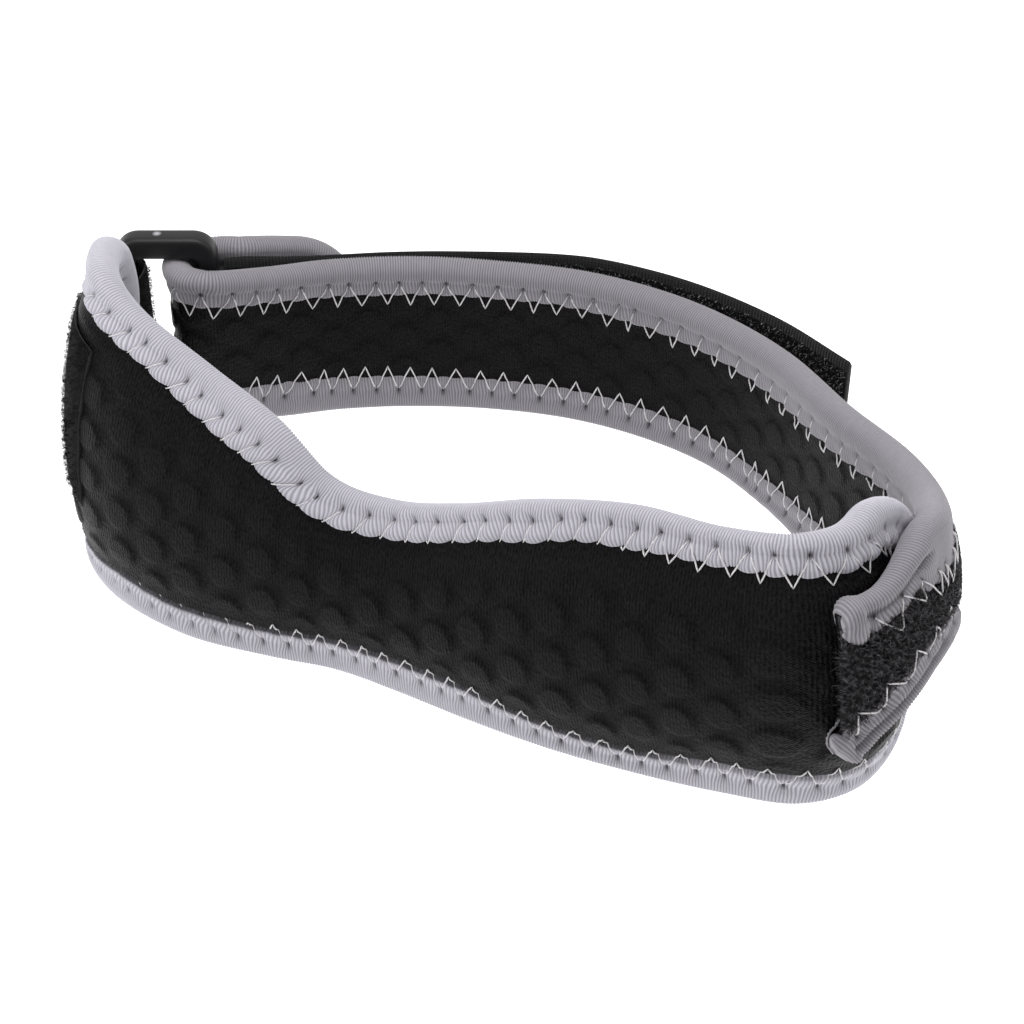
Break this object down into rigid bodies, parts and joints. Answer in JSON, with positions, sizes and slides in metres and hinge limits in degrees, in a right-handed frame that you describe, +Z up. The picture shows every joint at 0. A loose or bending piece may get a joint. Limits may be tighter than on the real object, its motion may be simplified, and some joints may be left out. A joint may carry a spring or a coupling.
{
  "type": "knee support wrap",
  "caption": "Padded knee support wrap closed into a loop: a waisted front panel and a back band, bound in knitted tape, joined by a plastic ring and hook-and-loop straps.",
  "frame": {"origin": "under the middle of the whole wrap, on the surface that its lower edges rest on", "axes": "+X to the right along the loop's long side with the front panel nearest, +Y from the front panel to the back band, +Z up"},
  "size_m": [0.1772, 0.1492, 0.0659],
  "materials": {
    "laminate": "matt embossed laminate",
    "knit_tape": "ribbed knit",
    "strap_pile": "loop pile and hooks",
    "plastic": "satin"
  },
  "bodies": {
    "root": {"front_panel": "laminate", "front_binding": "knit_tape", "back_band": "laminate", "back_binding": "knit_tape", "hook_strap": "strap_pile", "ring_strap": "strap_pile", "ring": "plastic"}
  },
  "joints": []
}
